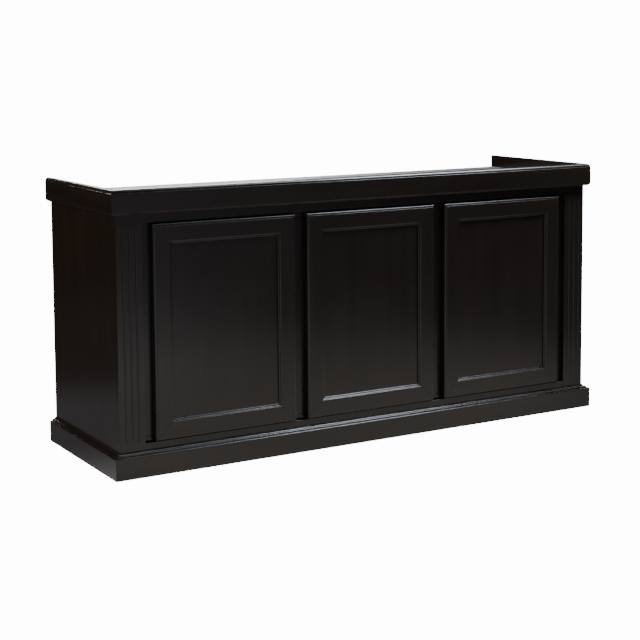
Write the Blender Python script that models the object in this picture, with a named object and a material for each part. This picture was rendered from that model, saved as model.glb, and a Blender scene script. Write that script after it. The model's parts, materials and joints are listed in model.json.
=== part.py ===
"""Aquarium stand cabinet: a low, wide, dark-stained wooden cabinet with three overlay doors.

Metres, +Z up, the front faces -Y. The origin is on the floor, under the middle of the cabinet.
The carcass carries the tank on a deck that lies inside a raised trim. A face frame closes the
front. Two fluted pilasters and two filler rails stand proud of it, and three framed doors
overlay it. Each door turns on two small pivot hinges at its back corner and shuts on a
magnetic catch.
"""

import math

import bmesh
import bpy
from mathutils import Matrix, Vector

# Driving dimensions.
HEIGHT = 0.756
BODY_WIDTH = 1.543
BODY_DEPTH = 0.470
TRIM_PROJECTION = 0.0157  # how far the trim stands out of the body
BASE_PROJECTION = 0.0187
BOARD = 0.019  # 3/4 inch lumber and plywood
THIN_BOARD = 0.0127  # 1/2 inch lumber
GAP = 0.0003  # left between pieces that touch
MITRE_GAP = GAP / math.sqrt(2)  # the same, measured along a 45 degree joint's piece

# Heights.
BASE_HEIGHT = 0.0684
TRIM_HEIGHT = 0.0665
DECK_RECESS = 0.038
BACK_RAIL_HEIGHT = 0.075
DOOR_BOTTOM = 0.0887
DOOR_TOP = 0.6615
LOWER_FILLER_TOP = 0.0865
UPPER_FILLER_BOTTOM = 0.6690

# Doors and front frame.
DOOR_WIDTH = 0.4225
DOOR_PITCH = 0.4600
DOOR_OVERLAY = 0.0127  # how far a door laps over the edge of its opening
DOOR_STANDOFF = 0.0025  # between the frame's front and a closed door's back
PILASTER_WIDTH = 0.073

# Door frame's section: across its width from the outer edge, and in depth from its face.
MEMBER_WIDTH = 0.0543
EDGE_ROUND = (0.0065, 0.0038)  # width and depth of the round along the outer edge
STEP = 0.0009  # the small square steps beside each round
BEAD = (0.0028, 0.0024)  # width and depth of each of the two rounds inside
PANEL_DEPTH = 0.0072
PANEL_THICKNESS = 0.006
GROOVE_DEPTH = 0.008
ARC_STEPS = 4
CROWN_STEPS = 6

# Flutes.
FLUTE_COUNT = 3
FLUTE_RADIUS = 0.0030
FLUTE_DEPTH = 0.0015
FLUTE_BOTTOM = 0.0924
FLUTE_TOP = 0.6467
FLUTE_SEGMENTS = 16

# Hinges, measured from the pivot's axis.
PIVOT_INSET = 0.004  # from the door's outer edge and from its back
HINGE_FROM_END = 0.075
LEAF_THICKNESS = 0.002
FRAME_LEAF_HALF_HEIGHT = 0.018
DOOR_LEAF_HALF_HEIGHT = 0.014
DOOR_LEAF_START = 0.014
DOOR_LEAF_END = 0.044
EYE_RADIUS = 0.0035
PIN_RADIUS = 0.0015
PIN_CLEARANCE = 0.0001
TONGUE_CLEARANCE = 0.0002
ROUND_SEGMENTS = 16
KERF_LENGTH = 0.0203
KERF_HALF_HEIGHT = 0.0028

# Catches.
CATCH_HEIGHT = 0.585
CATCH_DEPTH = 0.021
CATCH_FOOT = 0.002
CATCH_BODY = 0.0125
CATCH_FOOT_HALF_HEIGHT = 0.030
CATCH_BODY_HALF_HEIGHT = 0.020
STRIKE_THICKNESS = 0.0012
STRIKE_HALF_HEIGHT = 0.016
STRIKE_MARGIN = 0.001

# Places worked out from the sizes above.
FRONT = (BASE_PROJECTION - BODY_DEPTH) / 2  # the pilasters' front plane
BACK = FRONT + BODY_DEPTH
HALF_BODY = BODY_WIDTH / 2
TRIM_BOTTOM = HEIGHT - TRIM_HEIGHT
DECK_TOP = HEIGHT - DECK_RECESS
CARCASS_TOP = DECK_TOP - BOARD
FRAME_FRONT = FRONT + THIN_BOARD
FRAME_BACK = FRAME_FRONT + BOARD
DOOR_BACK = FRAME_FRONT - DOOR_STANDOFF
DOOR_FRONT = DOOR_BACK - BOARD
OPENING_BOTTOM = DOOR_BOTTOM + DOOR_OVERLAY
OPENING_TOP = DOOR_TOP - DOOR_OVERLAY
HALF_DOOR = DOOR_WIDTH / 2
INNER_HALF = HALF_BODY - BOARD  # half the distance between the side panels
MULLION_X = DOOR_PITCH / 2
HALF_MULLION = (DOOR_PITCH - DOOR_WIDTH) / 2 + DOOR_OVERLAY

# Each door: its name, its middle, and the side that its hinges are on (-1 left, +1 right).
DOORS = (("left_door", -DOOR_PITCH, -1), ("middle_door", 0.0, -1), ("right_door", DOOR_PITCH, 1))


def clear_scene():
    """Remove whatever the file holds."""
    for obj in list(bpy.data.objects):
        bpy.data.objects.remove(obj, do_unlink=True)


def make_material(name, color, roughness, metallic=0.0):
    """A plain Principled material."""
    material = bpy.data.materials.new(name)
    material.use_nodes = True
    shader = material.node_tree.nodes["Principled BSDF"]
    shader.inputs["Base Color"].default_value = (*color, 1.0)
    shader.inputs["Roughness"].default_value = roughness
    shader.inputs["Metallic"].default_value = metallic
    material.diffuse_color = (*color, 1.0)
    return material


def add_object(name, bm, material, smooth_angle=None):
    """Turn a bmesh into a named object with its faces pointing out."""
    bmesh.ops.recalc_face_normals(bm, faces=bm.faces)
    mesh = bpy.data.meshes.new(name)
    bm.to_mesh(mesh)
    bm.free()
    mesh.materials.append(material)
    if smooth_angle is not None:
        mesh.shade_smooth()
        mesh.set_sharp_from_angle(angle=math.radians(smooth_angle))
    obj = bpy.data.objects.new(name, mesh)
    bpy.context.scene.collection.objects.link(obj)
    return obj


def skin(bm, first, second):
    """Join two equal rings of points into a closed solid."""
    ring_a = [bm.verts.new(point) for point in first]
    ring_b = [bm.verts.new(point) for point in second]
    count = len(ring_a)
    bm.faces.new(ring_a)
    bm.faces.new(reversed(ring_b))
    for i in range(count):
        j = (i + 1) % count
        bm.faces.new((ring_a[j], ring_a[i], ring_b[i], ring_b[j]))


def board(name, low, high, material):
    """A plain rectangular piece between two corners."""
    bm = bmesh.new()
    outline = [(low[0], low[1]), (high[0], low[1]), (high[0], high[1]), (low[0], high[1])]
    skin(bm, [(x, y, low[2]) for x, y in outline], [(x, y, high[2]) for x, y in outline])
    return add_object(name, bm, material)


def sweep(name, outline, place, start, end, material):
    """Run a section along a piece. place(across, depth, along) gives a point of it, and start
    and end give where each end lies for a point's place across, so an end can be mitred."""
    bm = bmesh.new()
    skin(
        bm,
        [place(across, depth, start(across)) for across, depth in outline],
        [place(across, depth, end(across)) for across, depth in outline],
    )
    return add_object(name, bm, material, smooth_angle=30)


def prism(outline, bottom, top):
    """A bmesh of a flat outline with a height."""
    bm = bmesh.new()
    skin(bm, [(x, y, bottom) for x, y in outline], [(x, y, top) for x, y in outline])
    return bm


def circle(radius, centre=(0.0, 0.0), segments=ROUND_SEGMENTS):
    """The points of a circle, anticlockwise."""
    turn = 2 * math.pi / segments
    return [
        (centre[0] + radius * math.cos(i * turn), centre[1] + radius * math.sin(i * turn))
        for i in range(segments)
    ]


def arc(centre, radii, start_deg, end_deg, steps=ARC_STEPS):
    """Points along part of an ellipse, both ends included."""
    points = []
    for i in range(steps + 1):
        angle = math.radians(start_deg + (end_deg - start_deg) * i / steps)
        points.append((centre[0] + radii[0] * math.cos(angle), centre[1] + radii[1] * math.sin(angle)))
    return points


def apply_boolean(target, tool, operation):
    """Cut or join with another object, keep the result as the target's mesh, drop the tool."""
    modifier = target.modifiers.new(operation.lower(), "BOOLEAN")
    modifier.operation = operation
    modifier.object = tool
    bpy.context.view_layer.update()
    result = bpy.data.meshes.new_from_object(target.evaluated_get(bpy.context.evaluated_depsgraph_get()))
    target.modifiers.remove(modifier)
    spare = target.data
    target.data = result
    result.name = target.name
    bpy.data.meshes.remove(spare)
    bpy.data.objects.remove(tool, do_unlink=True)


def move_origin(obj, point):
    """Put an object's origin on a point without moving its surface."""
    obj.data.transform(Matrix.Translation(-Vector(point)))
    obj.location = point


def build_carcass(wood):
    """The box that carries the tank: sides, partitions, floor, deck and back rails."""
    for name, side in (("left", -1), ("right", 1)):
        inner, outer = sorted((side * INNER_HALF, side * HALF_BODY))
        board(name + "_side_panel", (inner, FRAME_FRONT, 0.0), (outer, BACK, CARCASS_TOP - GAP), wood)
        middle = side * MULLION_X
        board(
            name + "_partition",
            (middle - BOARD / 2, FRAME_BACK + GAP, OPENING_BOTTOM + GAP),
            (middle + BOARD / 2, BACK - BOARD - GAP, CARCASS_TOP - GAP),
            wood,
        )
        board(
            name + "_floor_bearer",
            (middle - BOARD / 2, FRAME_BACK + GAP, 0.0),
            (middle + BOARD / 2, BACK - BOARD - GAP, OPENING_BOTTOM - BOARD - GAP),
            wood,
        )
    half = INNER_HALF - GAP
    rail_front = BACK - BOARD
    top_rail_bottom = CARCASS_TOP - BACK_RAIL_HEIGHT
    board(
        "cabinet_floor",
        (-half, FRAME_BACK + GAP, OPENING_BOTTOM - BOARD),
        (half, rail_front - GAP, OPENING_BOTTOM),
        wood,
    )
    board("back_bottom_rail", (-half, rail_front, 0.0), (half, BACK, OPENING_BOTTOM), wood)
    board("back_top_rail", (-half, rail_front, top_rail_bottom), (half, BACK, CARCASS_TOP - GAP), wood)
    deck_half = HALF_BODY - GAP
    board("tank_deck", (-deck_half, FRONT + GAP, CARCASS_TOP), (deck_half, BACK, DECK_TOP), wood)


def build_face_frame(wood):
    """Stiles, rails and mullions around the three door openings."""
    front, back = FRAME_FRONT, FRAME_BACK
    half = INNER_HALF - GAP
    opening_edge = DOOR_PITCH + HALF_DOOR - DOOR_OVERLAY
    board("face_frame_bottom_rail", (-half, front, 0.0), (half, back, OPENING_BOTTOM - GAP), wood)
    board("face_frame_top_rail", (-half, front, OPENING_TOP + GAP), (half, back, CARCASS_TOP - GAP), wood)
    for name, side in (("left", -1), ("right", 1)):
        stile = sorted((side * opening_edge, side * half))
        mullion = (side * MULLION_X - HALF_MULLION, side * MULLION_X + HALF_MULLION)
        for part, (low, high) in (("stile", stile), ("mullion", mullion)):
            board(
                f"face_frame_{name}_{part}",
                (low, front, OPENING_BOTTOM),
                (high, back, OPENING_TOP),
                wood,
            )


def build_pilaster(name, side, wood):
    """A corner board with stopped flutes, cut by a round-nosed cutter."""
    outer = side * HALF_BODY
    inner = side * (HALF_BODY - PILASTER_WIDTH)
    low, high = sorted((outer, inner))
    pilaster = board(name, (low, FRONT, 0.0), (high, FRAME_FRONT - GAP, CARCASS_TOP - GAP), wood)
    for i in range(FLUTE_COUNT):
        x = low + PILASTER_WIDTH * (i + 1) / (FLUTE_COUNT + 1)
        apply_boolean(pilaster, flute_cutter(x, wood), "DIFFERENCE")
    pilaster.data.shade_smooth()
    pilaster.data.set_sharp_from_angle(angle=math.radians(30))


def flute_cutter(x, material):
    """The room that the cutter sweeps: a rod with two round ends, its axis just off the face."""
    bm = bmesh.new()
    quarter = FLUTE_SEGMENTS // 4
    profile = []
    for i in range(quarter + 1):
        angle = math.pi / 2 * (i / quarter - 1)
        height = FLUTE_BOTTOM + FLUTE_RADIUS * (1 + math.sin(angle))
        profile.append((FLUTE_RADIUS * math.cos(angle), height))
    for i in range(quarter + 1):
        angle = math.pi / 2 * i / quarter
        height = FLUTE_TOP - FLUTE_RADIUS * (1 - math.sin(angle))
        profile.append((FLUTE_RADIUS * math.cos(angle), height))
    axis_y = FRONT - (FLUTE_RADIUS - FLUTE_DEPTH)
    low_pole = bm.verts.new((x, axis_y, profile[0][1]))
    high_pole = bm.verts.new((x, axis_y, profile[-1][1]))
    rings = []
    for radius, z in profile[1:-1]:
        rings.append([bm.verts.new((px, py, z)) for px, py in circle(radius, (x, axis_y), FLUTE_SEGMENTS)])
    for i in range(FLUTE_SEGMENTS):
        j = (i + 1) % FLUTE_SEGMENTS
        bm.faces.new((low_pole, rings[0][j], rings[0][i]))
        bm.faces.new((high_pole, rings[-1][i], rings[-1][j]))
        for lower, upper in zip(rings, rings[1:]):
            bm.faces.new((lower[i], lower[j], upper[j], upper[i]))
    return add_object("flute_cutter", bm, material)


def build_front_dressing(wood):
    """The pilasters and the filler rails between them."""
    build_pilaster("left_pilaster", -1, wood)
    build_pilaster("right_pilaster", 1, wood)
    half = HALF_BODY - PILASTER_WIDTH - GAP
    back = FRAME_FRONT - GAP
    board("lower_filler_rail", (-half, FRONT, 0.0), (half, back, LOWER_FILLER_TOP), wood)
    board("upper_filler_rail", (-half, FRONT, UPPER_FILLER_BOTTOM), (half, back, CARCASS_TOP - GAP), wood)


def trim_outline():
    """Section of the trim: how far it stands out of the body, and its height from its foot.
    Its top edge is a round with a small step below it, and its foot is chamfered."""
    out, top = TRIM_PROJECTION, TRIM_HEIGHT
    chamfer = 0.0058
    round_out, round_up = 0.0084, 0.0088
    crown = arc((out - STEP - round_out, top - round_up), (round_out, round_up), 0, 90, CROWN_STEPS)
    return [
        (GAP, 0.0),
        (out - chamfer, 0.0),
        (out, chamfer),
        (out, top - round_up - STEP),
        (out - STEP, top - round_up - STEP / 2),
        *crown,
        (GAP, top),
    ]


def base_outline():
    """Section of the base: a flat face, then two rounds with a step between, then a cove."""
    out = BASE_PROJECTION
    round_size = 0.0029
    face_top = 0.0557
    second_foot = face_top + round_size + 2 * STEP
    lower = arc((out - round_size, face_top), (round_size, round_size), 0, 90)
    step_in = 0.0118
    upper = arc((step_in - round_size, second_foot), (round_size, round_size), 0, 90)
    cove_size = BASE_HEIGHT - second_foot - round_size
    cove_centre = (step_in - round_size - STEP, BASE_HEIGHT)
    cove = arc(cove_centre, (cove_size, cove_size), 270, 180)
    return [
        (GAP, 0.0),
        (out, 0.0),
        *lower,
        (step_in, face_top + round_size),
        *upper,
        *cove,
        (GAP, BASE_HEIGHT),
    ]


def build_moulding(name, outline, foot, wood):
    """The front, left and right boards of a moulding, mitred at the front corners."""

    def front_place(out, up, along):
        return (along, FRONT - out, foot + up)

    sweep(
        name + "_front",
        outline,
        front_place,
        lambda out: -(HALF_BODY + out - MITRE_GAP),
        lambda out: HALF_BODY + out - MITRE_GAP,
        wood,
    )
    for side_name, side in (("left", -1), ("right", 1)):

        def side_place(out, up, along, side=side):
            return (side * (HALF_BODY + out), along, foot + up)

        sweep(
            name + "_" + side_name,
            outline,
            side_place,
            lambda out: FRONT - out + MITRE_GAP,
            lambda out: BACK,
            wood,
        )


def member_outline():
    """Section of a door frame's member, from its outer edge inwards and from its face back: a
    stepped round outside, two stepped rounds inside, and the groove that holds the panel."""
    edge_width, edge_depth = EDGE_ROUND
    bead_width, bead_depth = BEAD
    inner = MEMBER_WIDTH
    first_start = inner - 2 * bead_width - 2 * STEP
    first_depth = STEP + bead_depth
    second_start = inner - bead_width
    edge = arc((edge_width, STEP + edge_depth), (edge_width, edge_depth), 180, 270)
    first = arc((first_start, first_depth), (bead_width, bead_depth), 270, 360)
    second = arc((second_start, first_depth + bead_depth), (bead_width, bead_depth), 270, 360)
    return [
        (0.0, BOARD),
        *edge,
        (edge_width + STEP / 2, 0.0),
        (first_start - STEP / 2, 0.0),
        *first,
        *second,
        (inner, PANEL_DEPTH),
        (inner - GROOVE_DEPTH, PANEL_DEPTH),
        (inner - GROOVE_DEPTH, PANEL_DEPTH + PANEL_THICKNESS),
        (inner, PANEL_DEPTH + PANEL_THICKNESS),
        (inner, BOARD),
    ]


def build_door(name, middle, hinge_side, wood):
    """A mitred frame around a flat panel, with slots for its hinges in the hinge stile."""
    centre_z = (DOOR_BOTTOM + DOOR_TOP) / 2
    half_height = (DOOR_TOP - DOOR_BOTTOM) / 2
    outline = member_outline()
    pivot = pivot_point(middle, hinge_side)
    members = {}
    for side_name, side in (("left", -1), ("right", 1)):

        def stile_place(across, depth, along, side=side):
            return (middle + side * (HALF_DOOR - across), DOOR_FRONT + depth, centre_z + along)

        members[side_name] = sweep(
            name + "_" + side_name + "_stile",
            outline,
            stile_place,
            lambda across: across + MITRE_GAP - half_height,
            lambda across: half_height - across - MITRE_GAP,
            wood,
        )
    for side_name, side in (("bottom", -1), ("top", 1)):

        def rail_place(across, depth, along, side=side):
            return (middle + along, DOOR_FRONT + depth, centre_z + side * (half_height - across))

        members[side_name] = sweep(
            name + "_" + side_name + "_rail",
            outline,
            rail_place,
            lambda across: across + MITRE_GAP - HALF_DOOR,
            lambda across: HALF_DOOR - across - MITRE_GAP,
            wood,
        )
    margin = MEMBER_WIDTH - GROOVE_DEPTH + GAP
    members["panel"] = board(
        name + "_panel",
        (middle - HALF_DOOR + margin, DOOR_FRONT + PANEL_DEPTH + GAP, DOOR_BOTTOM + margin),
        (middle + HALF_DOOR - margin, DOOR_FRONT + PANEL_DEPTH + PANEL_THICKNESS - GAP, DOOR_TOP - margin),
        wood,
    )
    hinge_stile = members["left" if hinge_side < 0 else "right"]
    for z in hinge_heights():
        apply_boolean(hinge_stile, kerf_cutter(middle, hinge_side, z, wood), "DIFFERENCE")
    for member in members.values():
        move_origin(member, pivot)


def pivot_point(middle, hinge_side):
    """A point on a door's pivot axis, at the door's foot."""
    x = middle + hinge_side * (HALF_DOOR - PIVOT_INSET)
    return (x, DOOR_BACK - PIVOT_INSET, DOOR_BOTTOM)


def hinge_heights():
    return (DOOR_BOTTOM + HINGE_FROM_END, DOOR_TOP - HINGE_FROM_END)


def kerf_cutter(middle, hinge_side, z, material):
    """The slot in a door's back corner that both hinge leaves reach into."""
    past_surface = 0.002
    outer = middle + hinge_side * (HALF_DOOR + past_surface)
    inner = middle + hinge_side * (HALF_DOOR - PIVOT_INSET - KERF_LENGTH)
    low, high = sorted((outer, inner))
    return board(
        "kerf_cutter",
        (low, DOOR_BACK - 2 * PIVOT_INSET, z - KERF_HALF_HEIGHT),
        (high, DOOR_BACK + past_surface, z + KERF_HALF_HEIGHT),
        material,
    )


def eye_outline(points):
    """A tongue with a round end about the pivot: three quarters of a circle, then its far points."""
    round_end = arc((0.0, 0.0), (EYE_RADIUS, EYE_RADIUS), 90, 270, 8)
    return round_end + points


def hinge_solid(name, outline, bottom, top, pivot, hinge_side, material):
    """A prism drawn about the pivot for a left-hung door, and mirrored for a right-hung one."""
    bm = prism(outline, bottom, top)
    bm.transform(Matrix.Translation(pivot) @ Matrix.Diagonal((-hinge_side, 1.0, 1.0, 1.0)))
    return add_object(name, bm, material)


def build_hinge(door_name, level_name, middle, hinge_side, z, steel):
    """A pivot hinge: a frame leaf with the pin, and a door leaf whose eye turns on it. Here +x
    runs from the pivot into the door, and +y runs to the back of the cabinet."""
    pivot = Vector(pivot_point(middle, hinge_side))
    pivot.z = z
    slack = TONGUE_CLEARANCE
    thickness = LEAF_THICKNESS
    frame_front = DOOR_STANDOFF + PIVOT_INSET
    plate_x = DOOR_OVERLAY - PIVOT_INSET + GAP
    plate_front = PIVOT_INSET + 2 * GAP
    plate_end = frame_front + BOARD - slack
    frame_tongue = eye_outline(
        [
            (plate_x + thickness / 2, -EYE_RADIUS),
            (plate_x + thickness / 2, frame_front + thickness),
            (plate_x + slack, frame_front + thickness),
            (plate_x + slack, frame_front - slack),
            (plate_x - thickness, frame_front - slack),
        ]
    )
    frame_plate = [
        (plate_x, plate_front),
        (plate_x + thickness, plate_front),
        (plate_x + thickness, plate_end),
        (plate_x, plate_end),
    ]
    door_face = PIVOT_INSET + GAP
    neck_start = DOOR_LEAF_START + thickness / 2
    neck_end = DOOR_LEAF_START + 2 * thickness
    door_tongue = eye_outline(
        [
            (neck_end, -EYE_RADIUS),
            (neck_end, door_face + thickness / 2),
            (neck_start, door_face + thickness / 2),
            (neck_start, EYE_RADIUS),
        ]
    )
    door_plate = [
        (DOOR_LEAF_START, door_face),
        (DOOR_LEAF_END, door_face),
        (DOOR_LEAF_END, door_face + thickness),
        (DOOR_LEAF_START, door_face + thickness),
    ]

    def solid(part, outline, bottom, top):
        return hinge_solid(part, outline, bottom, top, pivot, hinge_side, steel)

    name = f"{door_name}_{level_name}_hinge"
    half = FRAME_LEAF_HALF_HEIGHT
    frame_leaf = solid(name + "_frame_leaf", frame_plate, -half, half)
    apply_boolean(frame_leaf, solid("tongue", frame_tongue, slack, slack + thickness), "UNION")
    pin = circle(PIN_RADIUS)
    apply_boolean(frame_leaf, solid("pin", pin, -thickness - 2 * slack, slack + thickness / 2), "UNION")
    half = DOOR_LEAF_HALF_HEIGHT
    door_leaf = solid(name + "_door_leaf", door_plate, -half, half)
    apply_boolean(door_leaf, solid("tongue", door_tongue, -slack - thickness, -slack), "UNION")
    hole = circle(PIN_RADIUS + PIN_CLEARANCE)
    apply_boolean(door_leaf, solid("hole", hole, -2 * thickness, thickness), "DIFFERENCE")
    move_origin(frame_leaf, pivot)
    move_origin(door_leaf, pivot)


def build_catch(door_name, middle, hinge_side, plastic, steel):
    """A magnetic catch on the frame's edge at the door's free side, and its strike on the door."""
    free_side = -hinge_side
    frame_edge = middle + free_side * (HALF_DOOR - DOOR_OVERLAY)
    strike_front = DOOR_BACK + GAP
    catch_front = strike_front + STRIKE_THICKNESS + GAP
    foot, body = CATCH_FOOT, CATCH_BODY
    half_foot, half_body = CATCH_FOOT_HALF_HEIGHT, CATCH_BODY_HALF_HEIGHT
    section = [
        (GAP, -half_foot),
        (foot, -half_foot),
        (foot, -half_body),
        (body, -half_body + foot),
        (body, half_body - foot),
        (foot, half_body),
        (foot, half_foot),
        (GAP, half_foot),
    ]

    def catch_place(across, up, along):
        return (frame_edge - free_side * across, along, CATCH_HEIGHT + up)

    sweep(
        door_name + "_catch",
        section,
        catch_place,
        lambda across: catch_front,
        lambda across: catch_front + CATCH_DEPTH,
        plastic,
    )
    inner = frame_edge - free_side * (body + STRIKE_MARGIN)
    outer = frame_edge - free_side * foot
    low, high = sorted((inner, outer))
    strike = board(
        door_name + "_strike_plate",
        (low, strike_front, CATCH_HEIGHT - STRIKE_HALF_HEIGHT),
        (high, strike_front + STRIKE_THICKNESS, CATCH_HEIGHT + STRIKE_HALF_HEIGHT),
        steel,
    )
    move_origin(strike, pivot_point(middle, hinge_side))


def main():
    clear_scene()
    finish = make_material("espresso_lacquer", (0.016, 0.011, 0.009), 0.35)
    inside = make_material("stained_plywood", (0.030, 0.020, 0.015), 0.60)
    steel = make_material("bronzed_steel", (0.080, 0.065, 0.055), 0.40, 1.0)
    plastic = make_material("catch_plastic", (0.050, 0.030, 0.020), 0.50)
    build_carcass(inside)
    build_face_frame(finish)
    build_front_dressing(finish)
    build_moulding("tank_trim", trim_outline(), TRIM_BOTTOM, finish)
    build_moulding("base_moulding", base_outline(), 0.0, finish)
    for door_name, middle, hinge_side in DOORS:
        build_door(door_name, middle, hinge_side, finish)
        for level_name, z in zip(("lower", "upper"), hinge_heights()):
            build_hinge(door_name, level_name, middle, hinge_side, z, steel)
        build_catch(door_name, middle, hinge_side, plastic, steel)


main()
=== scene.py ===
"""Looks of the aquarium stand cabinet: its mouldings, doors and boards with eased edges, their
lacquer, plywood and hardware finishes, and a plain studio. Metres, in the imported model's frame.
"""

import json
import math

import bmesh
import bpy
from mathutils import Matrix, Vector

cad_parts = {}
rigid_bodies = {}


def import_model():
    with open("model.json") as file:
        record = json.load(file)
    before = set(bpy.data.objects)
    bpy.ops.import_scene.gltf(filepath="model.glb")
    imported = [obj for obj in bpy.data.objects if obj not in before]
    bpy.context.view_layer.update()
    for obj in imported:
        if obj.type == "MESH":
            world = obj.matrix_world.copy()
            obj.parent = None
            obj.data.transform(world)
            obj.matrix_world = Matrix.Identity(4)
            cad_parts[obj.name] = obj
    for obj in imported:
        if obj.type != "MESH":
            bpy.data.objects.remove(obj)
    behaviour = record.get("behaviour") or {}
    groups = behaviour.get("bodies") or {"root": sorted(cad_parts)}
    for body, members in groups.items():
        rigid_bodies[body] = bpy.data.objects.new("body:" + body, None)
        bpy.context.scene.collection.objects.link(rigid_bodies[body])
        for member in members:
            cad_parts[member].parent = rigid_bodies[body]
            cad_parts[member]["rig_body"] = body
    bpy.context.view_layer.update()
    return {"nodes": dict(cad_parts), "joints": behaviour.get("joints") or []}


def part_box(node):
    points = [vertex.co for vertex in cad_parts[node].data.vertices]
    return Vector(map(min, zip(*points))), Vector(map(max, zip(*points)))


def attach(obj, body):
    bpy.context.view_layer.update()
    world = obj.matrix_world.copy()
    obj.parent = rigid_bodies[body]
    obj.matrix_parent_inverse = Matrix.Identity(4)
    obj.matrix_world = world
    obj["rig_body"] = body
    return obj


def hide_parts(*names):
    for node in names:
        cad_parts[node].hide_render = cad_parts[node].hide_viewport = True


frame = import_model()

# Section sizes, as the real mouldings are cut.
GAP = 0.0003
MITRE_GAP = GAP / math.sqrt(2)
STEP = 0.0009
ARC_STEPS = 9
TRIM_CHAMFER = 0.0058
TRIM_ROUND = (0.0084, 0.0088)
BASE_ROUND = 0.0029
BASE_STEP_IN = 0.0118
BASE_FACE_TOP = 0.0557
DOOR_EDGE_ROUND = (0.0065, 0.0038)
DOOR_BEAD = (0.0028, 0.0024)
PANEL_DEPTH = 0.0072
PANEL_THICKNESS = 0.006
GROOVE_DEPTH = 0.008

# Flutes of the corner boards.
FLUTE_COUNT = 3
FLUTE_RADIUS = 0.0030
FLUTE_DEPTH = 0.0015
FLUTE_BOTTOM = 0.0924
FLUTE_TOP = 0.6467
FLUTE_SEGMENTS = 40

# Hinge slots in the doors' back corners.
PIVOT_INSET = 0.004
KERF_REACH = 0.0243
KERF_HALF_HEIGHT = 0.0028

CUT_PAST = 0.002  # how far a cutter runs out past the surface it cuts

# Screws in the hinges' door leaves, and the bumpers on the doors' backs.
LEAF_PLATE_LENGTH = 0.030
SCREW_PLACES = (0.25, 0.75)
SCREW_RADIUS = 0.0032
SCREW_RISE = 0.0006
SCREW_SEGMENTS = 24
SCREW_RINGS = 5
SLOT_HALF_LENGTH = 0.55  # shares of the screw's radius
SLOT_HALF_WIDTH = 0.09
SLOT_FLOOR = 0.35  # share of the screw's rise
BUMPER_RADIUS = 0.0042
BUMPER_RISE = 0.0018
BUMPER_INSET = 0.007

# Softening of edges.
MOULDING_EASE = 0.0003
BOARD_EASE = 0.0008
METAL_EASE = 0.00025
SHARP_DEG = 28
FLAT_DEG = 1
WELD_DISTANCE = 1e-6

# Studio.
STAGE_REACH = 30.0
SURROUND_HEIGHT = 14.0
FLOOR_THICKNESS = 0.05
STAGE_BRIGHTNESS = 14.0
GLOW_REACH = 16.0
GLOW_THICKNESS = 0.0004
FLOOR_DROP = 0.0005
COOL_WHITE = (0.80, 0.90, 1.0)
WARM_WHITE = (1.0, 0.88, 0.78)
NEUTRAL_WHITE = (1.0, 1.0, 1.0)

DOORS = ("left_door", "middle_door", "right_door")
MEMBERS = ("left_stile", "right_stile", "top_rail", "bottom_rail")


# ---------------------------------------------------------------- geometry helpers


def arc(centre, radii, start_deg, end_deg, steps=ARC_STEPS):
    """Points along part of an ellipse, both ends included."""
    points = []
    for i in range(steps + 1):
        angle = math.radians(start_deg + (end_deg - start_deg) * i / steps)
        points.append((centre[0] + radii[0] * math.cos(angle), centre[1] + radii[1] * math.sin(angle)))
    return points


def skin(bm, first, second):
    """Join two equal rings of points into a closed solid."""
    ring_a = [bm.verts.new(point) for point in first]
    ring_b = [bm.verts.new(point) for point in second]
    bm.faces.new(ring_a)
    bm.faces.new(reversed(ring_b))
    for i, a in enumerate(ring_a):
        j = (i + 1) % len(ring_a)
        bm.faces.new((ring_a[j], a, ring_b[i], ring_b[j]))


def box_solid(low, high):
    """A bmesh of a box between two corners."""
    bm = bmesh.new()
    ring = [(low[0], low[1]), (high[0], low[1]), (high[0], high[1]), (low[0], high[1])]
    skin(bm, [(x, y, low[2]) for x, y in ring], [(x, y, high[2]) for x, y in ring])
    return bm


def make_object(name, bm):
    """A bmesh as a linked object."""
    bmesh.ops.recalc_face_normals(bm, faces=bm.faces)
    mesh = bpy.data.meshes.new(name)
    bm.to_mesh(mesh)
    bm.free()
    obj = bpy.data.objects.new(name, mesh)
    bpy.context.scene.collection.objects.link(obj)
    return obj


def cut(target, cutter):
    """Take one object's solid out of another's and drop the cutter."""
    modifier = target.modifiers.new("cut", "BOOLEAN")
    modifier.operation = "DIFFERENCE"
    modifier.object = cutter
    depsgraph = bpy.context.evaluated_depsgraph_get()
    result = bpy.data.meshes.new_from_object(target.evaluated_get(depsgraph))
    target.modifiers.remove(modifier)
    target.data = result
    bpy.data.objects.remove(cutter, do_unlink=True)


def ease(obj, width):
    """Soften every arris, mark the softened strips where the finish is worn and where the lacquer paints a
    highlight, and shade smooth.
    """
    bm = bmesh.new()
    bm.from_mesh(obj.data)
    bmesh.ops.remove_doubles(bm, verts=bm.verts, dist=WELD_DISTANCE)
    bmesh.ops.dissolve_limit(bm, angle_limit=math.radians(FLAT_DEG), verts=bm.verts, edges=bm.edges)
    # The marked strips carry worn stain and a painted highlight.
    wear_and_highlight = bm.faces.layers.float.new("edge_wear_and_highlight")
    sharp = [e for e in bm.edges if e.calc_face_angle(0.0) > math.radians(SHARP_DEG)]
    strips = bmesh.ops.bevel(
        bm, geom=sharp, offset=width, segments=2, profile=0.5, affect="EDGES", clamp_overlap=True
    )
    for face in strips["faces"]:
        face[wear_and_highlight] = 1.0
    bm.to_mesh(obj.data)
    bm.free()
    obj.data.shade_smooth()
    modifier = obj.modifiers.new("flat_faces_flat", "WEIGHTED_NORMAL")
    modifier.keep_sharp = True
    modifier.weight = 100


def finish_piece(obj, node, material, width=BOARD_EASE):
    """Soften a piece, give it its finish, and let it stand for its CAD node."""
    ease(obj, width)
    obj.data.materials.clear()
    obj.data.materials.append(material)
    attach(obj, frame["nodes"][node]["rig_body"])
    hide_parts(node)


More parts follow.
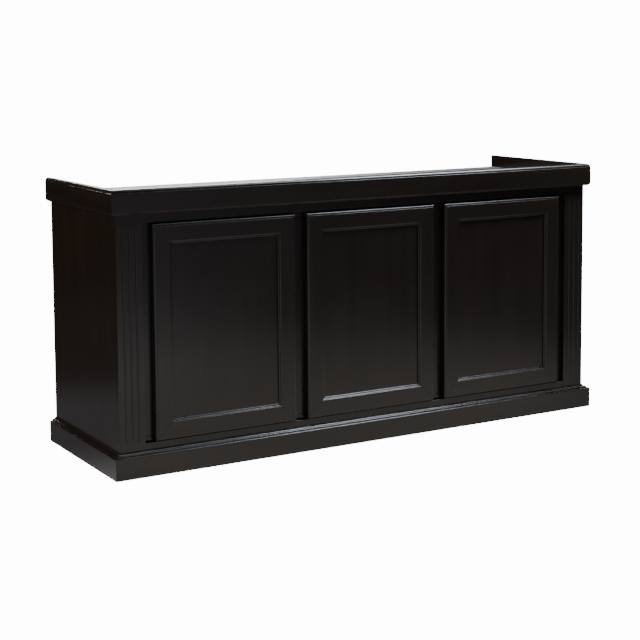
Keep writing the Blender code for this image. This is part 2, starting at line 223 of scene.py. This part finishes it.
def sweep(name, outline, place, start, end):
    """Run a section along a piece. place(across, depth, along) gives a point of it, and start
    and end give where each end lies for a point's place across, so an end can be mitred."""
    bm = bmesh.new()
    skin(
        bm,
        [place(across, depth, start(across)) for across, depth in outline],
        [place(across, depth, end(across)) for across, depth in outline],
    )
    return make_object(name, bm)


# ---------------------------------------------------------------- materials


class Tree:
    """Short calls for building a material's nodes."""

    def __init__(self, name):
        self.material = bpy.data.materials.new(name)
        self.material.use_nodes = True
        self.nodes = self.material.node_tree.nodes
        self.links = self.material.node_tree.links
        self.shader = self.nodes["Principled BSDF"]

    def add(self, kind, **settings):
        """A new node with its settings."""
        node = self.nodes.new(kind)
        for key, value in settings.items():
            setattr(node, key, value)
        return node

    def feed(self, source, target):
        """Link a socket, or set a plain value."""
        if isinstance(source, bpy.types.NodeSocket):
            self.links.new(source, target)
        else:
            target.default_value = source

    def place(self, scale):
        """Object coordinates, stretched by a scale on each axis."""
        coords = self.add("ShaderNodeTexCoord")
        mapping = self.add("ShaderNodeMapping")
        mapping.inputs["Scale"].default_value = scale
        self.links.new(coords.outputs["Object"], mapping.inputs["Vector"])
        return mapping.outputs["Vector"]

    def noise(self, scale, detail=4.0, roughness=0.55, distortion=0.0):
        """Noise on stretched object coordinates, about 0.5 on average. A scale is in waves a metre."""
        node = self.add("ShaderNodeTexNoise")
        self.links.new(self.place(scale), node.inputs["Vector"])
        node.inputs["Scale"].default_value = 1.0
        node.inputs["Detail"].default_value = detail
        node.inputs["Roughness"].default_value = roughness
        node.inputs["Distortion"].default_value = distortion
        return node.outputs["Fac"]

    def span(self, value, low, high, to_low=0.0, to_high=1.0):
        """Map a value's range onto another one, held at its ends."""
        node = self.add("ShaderNodeMapRange")
        for socket, number in zip(node.inputs, (value, low, high, to_low, to_high)):
            self.feed(number, socket)
        return node.outputs["Result"]

    def sum(self, *terms):
        """Add values up."""
        total = terms[0]
        for term in terms[1:]:
            total = self.math("ADD", total, term)
        return total

    def math(self, operation, a, b):
        """One arithmetic step on two values."""
        node = self.add("ShaderNodeMath", operation=operation)
        self.feed(a, node.inputs[0])
        self.feed(b, node.inputs[1])
        return node.outputs[0]

    def mix(self, factor, a, b):
        """Mix two colours."""
        node = self.add("ShaderNodeMix", data_type="RGBA")
        self.feed(factor, node.inputs["Factor"])
        for key, value in (("A", a), ("B", b)):
            socket = [s for s in node.inputs if s.name == key and s.type == "RGBA"][0]
            self.feed(value if isinstance(value, bpy.types.NodeSocket) else (*value, 1.0), socket)
        return [s for s in node.outputs if s.type == "RGBA"][0]

    def bump(self, height, distance):
        """Raise the surface by a height from 0 to 1, over a distance in metres."""
        node = self.add("ShaderNodeBump")
        self.feed(height, node.inputs["Height"])
        node.inputs["Distance"].default_value = distance
        self.links.new(node.outputs["Normal"], self.shader.inputs["Normal"])

    def edge(self):
        """1 on the softened edges, 0 elsewhere."""
        return self.add("ShaderNodeAttribute", attribute_name="edge_wear_and_highlight").outputs["Fac"]

    def set(self, **values):
        """Set or link the shader's own sockets, and give the material."""
        for key, value in values.items():
            self.feed(value, self.shader.inputs[key.replace("_", " ").title()])
        return self.material

    def unlit(self):
        """Let the surface shine by itself, with nothing mirrored or scattered."""
        self.shader.inputs["Base Color"].default_value = (0.0, 0.0, 0.0, 1.0)
        self.shader.inputs["Specular IOR Level"].default_value = 0.0


def along(axis, with_grain, across_grain):
    """A scale on each axis for a pattern that runs along one of them."""
    return tuple(with_grain if name == axis else across_grain for name in "xyz")


def lacquer(axis):
    """Espresso stain under satin lacquer, its grain along an axis: long figure, fine pores, a
    faint orange peel, and the edges lightened, partly the stain rubbed a little thin and partly a painted
    highlight."""
    tree = Tree("espresso_lacquer_" + axis)
    figure = tree.noise(along(axis, 1.6, 34.0), 7.0, 0.62, 0.5)
    cloud = tree.noise((5.0, 5.0, 5.0), 3.0)
    pores = tree.span(tree.noise(along(axis, 26.0, 900.0), 2.0), 0.60, 0.72)
    # Patchy share of the edge strips that is lightened: worn stain and painted highlight.
    wear_and_highlight = tree.span(tree.noise((60.0, 60.0, 60.0), 4.0), 0.42, 0.66, 0.0, 0.55)
    tone = tree.span(tree.sum(figure, tree.math("MULTIPLY", cloud, 0.5)), 0.50, 1.00)
    color = tree.mix(tone, (0.0100, 0.0073, 0.0056), (0.0160, 0.0117, 0.0090))
    color = tree.mix(tree.math("MULTIPLY", pores, 0.25), color, (0.0040, 0.0028, 0.0022))
    # Painted highlight and worn stain: the edge strips turn a lighter brown.
    color = tree.mix(tree.math("MULTIPLY", tree.edge(), wear_and_highlight), color, (0.050, 0.031, 0.020))
    sheen = tree.noise((11.0, 11.0, 11.0), 5.0)
    roughness = tree.sum(tree.span(sheen, 0.3, 0.7, 0.20, 0.24), tree.math("MULTIPLY", pores, 0.02))
    peel = tree.noise((420.0, 420.0, 420.0), 2.0)
    relief = tree.sum(
        tree.math("MULTIPLY", figure, 0.5),
        tree.math("MULTIPLY", peel, 0.10),
        tree.math("MULTIPLY", pores, -0.35),
    )
    tree.bump(relief, 0.000003)
    return tree.set(base_color=color, roughness=roughness)


def plywood(axis, thickness_axis):
    """Dark stained plywood, matt: rotary-cut figure on its faces, plies on its edges."""
    tree = Tree("stained_plywood_" + axis + thickness_axis)
    figure = tree.noise(along(axis, 2.2, 22.0), 6.0, 0.6, 1.2)
    fuzz = tree.noise(along(axis, 40.0, 500.0), 3.0)
    plies = tree.add("ShaderNodeTexWave", wave_type="BANDS", bands_direction=thickness_axis.upper())
    tree.links.new(tree.place((1.0, 1.0, 1.0)), plies.inputs["Vector"])
    plies.inputs["Scale"].default_value = 68.0
    plies.inputs["Distortion"].default_value = 0.4
    color = tree.mix(figure, (0.0150, 0.0098, 0.0070), (0.0440, 0.0290, 0.0205))
    color = tree.mix(tree.math("MULTIPLY", plies.outputs["Fac"], 0.30), color, (0.060, 0.041, 0.029))
    color = tree.mix(tree.math("MULTIPLY", fuzz, 0.35), color, (0.012, 0.008, 0.006))
    roughness = tree.span(fuzz, 0.3, 0.7, 0.52, 0.70)
    relief = tree.sum(figure, tree.math("MULTIPLY", fuzz, 0.6))
    tree.bump(relief, 0.00018)
    return tree.set(base_color=color, roughness=roughness)


def deck_paint():
    """Black paint rolled on the deck: a stippled film with grain under it and a few scuffs."""
    tree = Tree("painted_deck")
    stipple = tree.noise((260.0, 260.0, 260.0), 3.0, 0.6)
    grain = tree.noise((2.0, 30.0, 30.0), 5.0, 0.6, 0.8)
    scuffs = tree.span(tree.noise((9.0, 70.0, 9.0), 6.0, 0.7), 0.62, 0.74)
    color = tree.mix(grain, (0.0120, 0.0110, 0.0105), (0.0230, 0.0210, 0.0200))
    color = tree.mix(tree.math("MULTIPLY", scuffs, 0.35), color, (0.070, 0.062, 0.056))
    roughness = tree.sum(tree.span(stipple, 0.3, 0.7, 0.46, 0.58), tree.math("MULTIPLY", scuffs, 0.15))
    tree.bump(tree.sum(stipple, tree.math("MULTIPLY", grain, 0.8)), 0.00016)
    return tree.set(base_color=color, roughness=roughness)


def metal(name, dark, light, rough_low, rough_high):
    """Plated steel with a brushed, slightly mottled surface."""
    tree = Tree(name)
    brushed = tree.noise((900.0, 900.0, 60.0), 3.0)
    mottle = tree.noise((120.0, 120.0, 120.0), 4.0)
    color = tree.mix(mottle, dark, light)
    color = tree.mix(tree.math("MULTIPLY", tree.edge(), 0.5), color, tuple(c * 1.6 for c in light))
    tree.bump(tree.sum(brushed, mottle), 0.00004)
    tree.shader.inputs["Metallic"].default_value = 1.0
    return tree.set(base_color=color, roughness=tree.span(brushed, 0.3, 0.7, rough_low, rough_high))


def plastic():
    """Brown moulded plastic with a fine spark-eroded grain."""
    tree = Tree("catch_plastic")
    grain = tree.noise((1500.0, 1500.0, 1500.0), 2.0)
    cloud = tree.noise((60.0, 60.0, 60.0), 2.0)
    color = tree.mix(cloud, (0.040, 0.023, 0.015), (0.062, 0.037, 0.025))
    tree.bump(grain, 0.00005)
    return tree.set(base_color=color, roughness=tree.span(grain, 0.3, 0.7, 0.42, 0.56))


def rubber():
    """Clear, slightly yellowed bumper rubber."""
    tree = Tree("bumper_rubber")
    cloud = tree.noise((300.0, 300.0, 300.0), 2.0)
    color = tree.mix(cloud, (0.30, 0.27, 0.22), (0.42, 0.39, 0.33))
    tree.bump(cloud, 0.00005)
    return tree.set(base_color=color, roughness=tree.span(cloud, 0.3, 0.7, 0.30, 0.42))


LACQUER = {axis: lacquer(axis) for axis in "xyz"}
PLYWOOD_UPRIGHT = plywood("z", "x")
PLYWOOD_BEARER = plywood("y", "x")
PLYWOOD_RAIL = plywood("x", "y")
PLYWOOD_FLAT = plywood("x", "z")
DECK_PAINT = deck_paint()
BRONZE = metal("bronzed_steel", (0.050, 0.040, 0.033), (0.110, 0.090, 0.076), 0.34, 0.50)
ZINC = metal("zinc_plate", (0.46, 0.47, 0.48), (0.62, 0.63, 0.64), 0.26, 0.42)
PLASTIC = plastic()
RUBBER = rubber()


# ---------------------------------------------------------------- fixed woodwork


def trim_outline(projection, height):
    """Section of the tank trim: chamfered foot, flat face, stepped round on top."""
    round_out, round_up = TRIM_ROUND
    crown = arc((projection - STEP - round_out, height - round_up), TRIM_ROUND, 0, 90, 2 * ARC_STEPS)
    return [
        (GAP, 0.0),
        (projection - TRIM_CHAMFER, 0.0),
        (projection, TRIM_CHAMFER),
        (projection, height - round_up - STEP),
        (projection - STEP, height - round_up - STEP / 2),
        *crown,
        (GAP, height),
    ]


def base_outline(projection, height):
    """Section of the base: a flat face, then two rounds with a step between, then a cove."""
    second_foot = BASE_FACE_TOP + BASE_ROUND + 2 * STEP
    radii = (BASE_ROUND, BASE_ROUND)
    lower = arc((projection - BASE_ROUND, BASE_FACE_TOP), radii, 0, 90)
    upper = arc((BASE_STEP_IN - BASE_ROUND, second_foot), radii, 0, 90)
    cove_size = height - second_foot - BASE_ROUND
    cove = arc((BASE_STEP_IN - BASE_ROUND - STEP, height), (cove_size, cove_size), 270, 180)
    return [
        (GAP, 0.0),
        (projection, 0.0),
        *lower,
        (BASE_STEP_IN, BASE_FACE_TOP + BASE_ROUND),
        *upper,
        *cove,
        (GAP, height),
    ]


def build_moulding(prefix, make_outline):
    """The three boards of a moulding, mitred at the front corners. A section's points are given
    as how far out of the body they lie and how high."""
    low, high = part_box(prefix + "_front")
    side_low, side_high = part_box(prefix + "_left")
    body_front = high.y + GAP
    projection = body_front - low.y
    outer = -side_low.x
    half_body = outer - projection
    back = side_high.y
    outline = make_outline(projection, high.z - low.z)
    front = sweep(
        prefix + "_front_wood",
        outline,
        lambda out, up, x: (x, body_front - out, low.z + up),
        lambda out: -(half_body + out - MITRE_GAP),
        lambda out: half_body + out - MITRE_GAP,
    )
    finish_piece(front, prefix + "_front", LACQUER["x"], MOULDING_EASE)
    for name, side in (("left", -1), ("right", 1)):
        board = sweep(
            f"{prefix}_{name}_wood",
            outline,
            lambda out, up, y, side=side: (side * (half_body + out), y, low.z + up),
            lambda out: body_front - out + MITRE_GAP,
            lambda out: back,
        )
        finish_piece(board, f"{prefix}_{name}", LACQUER["y"], MOULDING_EASE)


def flute_cutter(x, front):
    """The room that a round-nosed cutter sweeps: a rod with round ends, its axis off the face."""
    bm = bmesh.new()
    quarter = FLUTE_SEGMENTS // 4
    profile = []
    for centre, sign in ((FLUTE_BOTTOM + FLUTE_RADIUS, -1), (FLUTE_TOP - FLUTE_RADIUS, 1)):
        turn = range(quarter + 1) if sign > 0 else range(quarter, -1, -1)
        for i in turn:
            angle = math.pi / 2 * i / quarter
            profile.append((FLUTE_RADIUS * math.cos(angle), centre + sign * FLUTE_RADIUS * math.sin(angle)))
    axis_y = front - (FLUTE_RADIUS - FLUTE_DEPTH)
    poles = [bm.verts.new((x, axis_y, z)) for z in (profile[0][1], profile[-1][1])]
    rings = []
    for radius, z in profile[1:-1]:
        ring = []
        for i in range(FLUTE_SEGMENTS):
            angle = 2 * math.pi * i / FLUTE_SEGMENTS
            ring.append(bm.verts.new((x + radius * math.cos(angle), axis_y + radius * math.sin(angle), z)))
        rings.append(ring)
    for i in range(FLUTE_SEGMENTS):
        j = (i + 1) % FLUTE_SEGMENTS
        bm.faces.new((poles[0], rings[0][j], rings[0][i]))
        bm.faces.new((poles[1], rings[-1][i], rings[-1][j]))
        for lower, upper in zip(rings, rings[1:]):
            bm.faces.new((lower[i], lower[j], upper[j], upper[i]))
    return make_object("flute_cutter", bm)


def build_pilaster(node):
    """A corner board with three stopped flutes."""
    low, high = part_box(node)
    piece = make_object(node + "_wood", box_solid(low, high))
    for i in range(FLUTE_COUNT):
        x = low.x + (high.x - low.x) * (i + 1) / (FLUTE_COUNT + 1)
        cut(piece, flute_cutter(x, low.y))
    finish_piece(piece, node, LACQUER["z"], MOULDING_EASE)


def build_board(node, material, width=BOARD_EASE):
    """A plain board with eased edges."""
    low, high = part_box(node)
    finish_piece(make_object(node + "_board", box_solid(low, high)), node, material, width)


def build_fixed_woodwork():
    """Everything of wood that doesn't move."""
    build_moulding("tank_trim", trim_outline)
    build_moulding("base_moulding", base_outline)
    for side in ("left", "right"):
        build_pilaster(side + "_pilaster")
        build_board(side + "_side_panel", LACQUER["z"])
        build_board(f"face_frame_{side}_stile", LACQUER["z"])
        build_board(f"face_frame_{side}_mullion", LACQUER["z"])
        build_board(side + "_partition", PLYWOOD_UPRIGHT)
        build_board(side + "_floor_bearer", PLYWOOD_BEARER)
    for node in ("lower_filler_rail", "upper_filler_rail", "face_frame_top_rail", "face_frame_bottom_rail"):
        build_board(node, LACQUER["x"])
    for node in ("back_top_rail", "back_bottom_rail"):
        build_board(node, PLYWOOD_RAIL)
    build_board("cabinet_floor", PLYWOOD_FLAT)
    build_board("tank_deck", DECK_PAINT)


# ---------------------------------------------------------------- doors


def member_outline(width, thickness):
    """Section of a door frame's member, from its outer edge inwards and from its face back."""
    edge_width, edge_depth = DOOR_EDGE_ROUND
    bead_width, bead_depth = DOOR_BEAD
    first_start = width - 2 * bead_width - 2 * STEP
    first_depth = STEP + bead_depth
    second_start = width - bead_width
    groove = width - GROOVE_DEPTH
    edge = arc((edge_width, STEP + edge_depth), DOOR_EDGE_ROUND, 180, 270)
    first = arc((first_start, first_depth), DOOR_BEAD, 270, 360)
    second = arc((second_start, first_depth + bead_depth), DOOR_BEAD, 270, 360)
    return [
        (0.0, thickness),
        *edge,
        (edge_width + STEP / 2, 0.0),
        (first_start - STEP / 2, 0.0),
        *first,
        *second,
        (width, PANEL_DEPTH),
        (groove, PANEL_DEPTH),
        (groove, PANEL_DEPTH + PANEL_THICKNESS),
        (width, PANEL_DEPTH + PANEL_THICKNESS),
        (width, thickness),
    ]


def hinge_side(door):
    """-1 where a door hangs on its left stile, 1 where on its right one."""
    joint = [j for j in frame["joints"] if j["child"] == door][0]
    low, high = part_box(door + "_panel")
    return -1 if joint["pos_m"][0] < (low.x + high.x) / 2 else 1


def kerf_cutter(door, low, high, z):
    """The slot in a door's back corner that both hinge leaves reach into."""
    side = hinge_side(door)
    edge = low.x if side < 0 else high.x
    ends = sorted((edge + side * CUT_PAST, edge - side * KERF_REACH))
    return make_object(
        "kerf_cutter",
        box_solid(
            (ends[0], high.y - 2 * PIVOT_INSET, z - KERF_HALF_HEIGHT),
            (ends[1], high.y + CUT_PAST, z + KERF_HALF_HEIGHT),
        ),
    )


def build_door(door):
    """A mitred frame round a flat panel."""
    boxes = {member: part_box(f"{door}_{member}") for member in MEMBERS}
    low = Vector((boxes["left_stile"][0].x, boxes["left_stile"][0].y, boxes["bottom_rail"][0].z))
    high = Vector((boxes["right_stile"][1].x, boxes["left_stile"][1].y, boxes["top_rail"][1].z))
    middle, half = (low + high) / 2, (high - low) / 2
    width = boxes["left_stile"][1].x - boxes["left_stile"][0].x
    outline = member_outline(width, high.y - low.y)
    for member, (box_low, box_high) in boxes.items():
        side = -1 if member in ("left_stile", "bottom_rail") else 1
        if member.endswith("stile"):
            reach, grain = half.z, "z"

            def place(across, depth, run, side=side):
                return (middle.x + side * (half.x - across), low.y + depth, middle.z + run)

        else:
            reach, grain = half.x, "x"

            def place(across, depth, run, side=side):
                return (middle.x + run, low.y + depth, middle.z + side * (half.z - across))

        piece = sweep(
            f"{door}_{member}_wood",
            outline,
            place,
            lambda across: across + MITRE_GAP - reach,
            lambda across: reach - across - MITRE_GAP,
        )
        if member == ("left_stile" if hinge_side(door) < 0 else "right_stile"):
            for level in ("lower", "upper"):
                leaf_low, leaf_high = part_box(f"{door}_{level}_hinge_door_leaf")
                cut(piece, kerf_cutter(door, low, high, (leaf_low.z + leaf_high.z) / 2))
        finish_piece(piece, f"{door}_{member}", LACQUER[grain], MOULDING_EASE)
    build_board(door + "_panel", LACQUER["z"], MOULDING_EASE)


# ---------------------------------------------------------------- hardware


def soften_node(node, material):
    """A finish and small eased edges for a CAD node whose shape stays."""
    obj = frame["nodes"][node]
    obj.data.materials.clear()
    obj.data.materials.append(material)
    weld = obj.modifiers.new("weld", "WELD")
    weld.merge_threshold = 0.00001
    bevel = obj.modifiers.new("ease", "BEVEL")
    bevel.width = METAL_EASE
    bevel.segments = 2
    bevel.limit_method = "ANGLE"
    bevel.angle_limit = math.radians(SHARP_DEG)
    bevel.use_clamp_overlap = True


def build_screw(name, point, normal, body, material):
    """A small pan head with a cross slot, seated on a face."""
    bm = bmesh.new()
    profile = []
    for i in range(SCREW_RINGS + 1):
        angle = math.pi / 2 * i / SCREW_RINGS
        profile.append((SCREW_RADIUS * math.cos(angle), SCREW_RISE * math.sin(angle)))
    loops = []
    for r, h in profile[:-1]:
        loop = []
        for k in range(SCREW_SEGMENTS):
            turn = 2 * math.pi * k / SCREW_SEGMENTS
            loop.append(bm.verts.new((r * math.cos(turn), r * math.sin(turn), h)))
        loops.append(loop)
    crown = bm.verts.new((0, 0, profile[-1][1]))
    bm.faces.new(reversed(loops[0]))
    for k in range(SCREW_SEGMENTS):
        j = (k + 1) % SCREW_SEGMENTS
        for a, b in zip(loops, loops[1:]):
            bm.faces.new((a[k], a[j], b[j], b[k]))
        bm.faces.new((loops[-1][k], loops[-1][j], crown))
    head = make_object(name, bm)
    half_length, half_width = SCREW_RADIUS * SLOT_HALF_LENGTH, SCREW_RADIUS * SLOT_HALF_WIDTH
    for turn in (0.0, math.pi / 2):
        slot = box_solid(
            (-half_length, -half_width, SCREW_RISE * SLOT_FLOOR),
            (half_length, half_width, SCREW_RISE * 2),
        )
        slot.transform(Matrix.Rotation(turn, 4, "Z"))
        cut(head, make_object("slot_cutter", slot))
    seat = Vector((0, 0, 1)).rotation_difference(Vector(normal)).to_matrix().to_4x4()
    head.data.transform(Matrix.Translation(Vector(point)) @ seat)
    head.data.shade_smooth()
    head.data.set_sharp_from_angle(angle=math.radians(SHARP_DEG))
    head.data.materials.clear()
    head.data.materials.append(material)
    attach(head, body)
    return head


def build_hardware(door):
    """Finishes for a door's hinges, catch and strike, with their screws, and its bumpers."""
    side = hinge_side(door)
    for level in ("lower", "upper"):
        door_leaf = f"{door}_{level}_hinge_door_leaf"
        soften_node(f"{door}_{level}_hinge_frame_leaf", BRONZE)
        soften_node(door_leaf, BRONZE)
        low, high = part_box(door_leaf)
        plate_start = high.x if side < 0 else low.x
        for i, share in enumerate(SCREW_PLACES):
            point = (plate_start + side * LEAF_PLATE_LENGTH * share, high.y, (low.z + high.z) / 2)
            head = build_screw(f"{door_leaf}_screw_{i + 1}", point, (0, 1, 0), door, BRONZE)
    soften_node(door + "_catch", PLASTIC)
    soften_node(door + "_strike_plate", ZINC)
    build_bumpers(door)


def build_bumpers(door):
    """Two small domes on a door's back, at its free corners, that stop it against the frame."""
    side = hinge_side(door)
    low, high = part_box(f"{door}_{'right' if side < 0 else 'left'}_stile")
    x = high.x - BUMPER_INSET if side < 0 else low.x + BUMPER_INSET
    for name, z in (("lower", low.z + BUMPER_INSET), ("upper", high.z - BUMPER_INSET)):
        bm = bmesh.new()
        bmesh.ops.create_uvsphere(bm, u_segments=28, v_segments=16, radius=1.0)
        below = [v for v in bm.verts if v.co.z < -1e-4]
        bmesh.ops.delete(bm, geom=below, context="VERTS")
        rim = [e for e in bm.edges if e.is_boundary]
        bmesh.ops.contextual_create(bm, geom=rim)
        for vertex in bm.verts:
            across, up, out = vertex.co
            vertex.co = Vector((across * BUMPER_RADIUS, out * BUMPER_RISE, up * BUMPER_RADIUS))
            vertex.co += Vector((x, high.y, z))
        bumper = make_object(f"{door}_{name}_bumper", bm)
        bumper.data.shade_smooth()
        bumper.data.materials.append(RUBBER)
        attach(bumper, door)


# ---------------------------------------------------------------- studio


def white_paint(name, strength):
    """A surface that shines white by itself."""
    tree = Tree(name)
    tree.unlit()
    tree.shader.inputs["Emission Color"].default_value = (1.0, 1.0, 1.0, 1.0)
    return tree.set(emission_strength=strength)


def glow_material(pools):
    """Pools of light, each bright at its middle and fading to nothing at its reach. The first
    is warm, the rest cool."""
    tree = Tree("floor_glow")
    tree.unlit()
    coords = tree.add("ShaderNodeTexCoord")
    fades, powers = [], []
    for centre, reach, strength in pools:
        mapping = tree.add("ShaderNodeMapping", vector_type="TEXTURE")
        mapping.inputs["Location"].default_value = (*centre, 0.0)
        mapping.inputs["Scale"].default_value = (*reach, 1.0)
        tree.links.new(coords.outputs["Object"], mapping.inputs["Vector"])
        gradient = tree.add("ShaderNodeTexGradient", gradient_type="SPHERICAL")
        tree.links.new(mapping.outputs["Vector"], gradient.inputs["Vector"])
        fade = tree.add("ShaderNodeMapRange", interpolation_type="SMOOTHSTEP")
        tree.links.new(gradient.outputs["Fac"], fade.inputs["Value"])
        fade.inputs["From Max"].default_value = 0.5
        fades.append(fade.outputs["Result"])
        powers.append(tree.math("MULTIPLY", fades[-1], strength))
    color = tree.mix(fades[0], (0.90, 0.89, 1.0), (1.0, 0.95, 0.89))
    return tree.set(emission_color=color, emission_strength=tree.sum(*powers))


def build_stage():
    """A pale floor that runs out to a pale surround."""
    low = (-STAGE_REACH, -STAGE_REACH, -FLOOR_THICKNESS)
    floor = make_object("floor", box_solid(low, (STAGE_REACH, STAGE_REACH, -FLOOR_DROP)))
    radius = STAGE_REACH * 0.98
    bm = bmesh.new()
    bmesh.ops.create_cone(
        bm, segments=96, radius1=radius, radius2=radius, depth=SURROUND_HEIGHT, cap_ends=False
    )
    bmesh.ops.translate(bm, verts=bm.verts, vec=(0, 0, SURROUND_HEIGHT / 2))
    surround = make_object("surround", bm)
    for obj in (floor, surround):
        obj.data.materials.append(white_paint(obj.name + "_white", STAGE_BRIGHTNESS))
        obj.visible_glossy = False
        obj.visible_diffuse = False


def floor_glow(pools):
    """The lit floor as the lacquer sees it; the camera sees only the plain floor."""
    low = (-GLOW_REACH, -GLOW_REACH, -GLOW_THICKNESS)
    patch = make_object("floor_glow", box_solid(low, (GLOW_REACH, GLOW_REACH, 0.0)))
    patch.data.materials.append(glow_material(pools))
    patch.visible_camera = False


def facing(place, aim):
    """A lamp's matrix at a place, shining at an aim, its width level and its depth along y when
    it hangs overhead."""
    back = (Vector(place) - Vector(aim)).normalized()
    overhead = abs(back.z) > 0.9
    up = Vector((0.0, 1.0, 0.0)) if overhead else Vector((0.0, 0.0, 1.0))
    side = up.cross(back)
    side.normalize()
    turn = Matrix((side, back.cross(side), back)).transposed().to_quaternion()
    return Matrix.LocRotScale(Vector(place), turn, None)


def area_light(name, place, aim, size, power, color=NEUTRAL_WHITE):
    """A rectangular softbox that the camera doesn't see."""
    data = bpy.data.lights.new(name, "AREA")
    data.shape = "RECTANGLE"
    data.size, data.size_y = size
    data.energy = power
    data.color = color
    light = bpy.data.objects.new(name, data)
    light.matrix_world = facing(place, aim)
    light.visible_camera = False
    bpy.context.scene.collection.objects.link(light)


def build_lights():
    """Two softboxes over the front that draw the bright lines on its mouldings, weak fills at the
    left, right and back, and the floor's own glow."""
    area_light("overhead_softbox", (1.40, -0.75, 2.5), (1.40, -0.75, 0.0), (0.95, 0.9), 105, COOL_WHITE)
    area_light("overhead_rim", (1.30, -0.75, 2.52), (1.30, -0.75, 0.0), (2.2, 0.9), 45, COOL_WHITE)
    area_light("left_fill", (-3.2, 0.8, 1.5), (-0.8, 0.0, 0.35), (1.6, 1.6), 80, WARM_WHITE)
    area_light("right_fill", (3.6, 1.2, 1.6), (0.8, 0.0, 0.35), (1.6, 1.6), 90)
    area_light("back_fill", (0.6, 3.2, 3.0), (0.0, 0.0, 0.3), (2.6, 1.4), 320)

    # Pools on the floor: centre, reach along x and y, strength.
    near = ((-0.1, -0.90), (1.9, 1.2), 0.50)
    low = ((0.0, -0.42), (1.3, 0.6), 0.17)
    left = ((-1.0, -2.6), (1.9, 2.2), 0.60)
    far_left = ((-5.0, -3.0), (5.0, 4.0), 0.5)
    left_back = ((-0.9, 0.1), (0.8, 1.0), 0.13)
    left_side = ((-1.4, 1.2), (1.4, 2.0), 0.03)
    right = ((1.8, -1.8), (3.5, 3.2), 0.05)
    far = ((-0.5, -8.3), (6.5, 5.0), 0.48)
    whole = ((3.0, -6.0), (12.0, 8.0), 0.03)
    floor_glow((near, low, left, far_left, left_back, left_side, right, far, whole))

    world = bpy.data.worlds.new("studio")
    world.use_nodes = True
    background = world.node_tree.nodes["Background"]
    background.inputs["Color"].default_value = (0.92, 0.95, 1.0, 1.0)
    background.inputs["Strength"].default_value = 0.02
    bpy.context.scene.world = world


def build_camera():
    """A long lens a little above the cabinet's top, off its left front corner."""
    yaw, pitch, roll = math.radians(30.30), math.radians(5.67), math.radians(0.377)
    data = bpy.data.cameras.new("camera")
    data.lens = 83.5
    data.shift_y = -0.1875
    data.clip_end = 100.0
    camera = bpy.data.objects.new("camera", data)
    turn = Matrix.Rotation(-yaw, 4, "Z")
    tilt = Matrix.Rotation(math.pi / 2 - pitch, 4, "X")
    lean = Matrix.Rotation(-roll, 4, "Z")
    camera.matrix_world = Matrix.Translation((-2.219, -3.739, 1.100)) @ turn @ tilt @ lean
    bpy.context.scene.collection.objects.link(camera)
    bpy.context.scene.camera = camera


build_fixed_woodwork()
for door_name in DOORS:
    build_door(door_name)
    build_hardware(door_name)
build_stage()
build_lights()
build_camera()
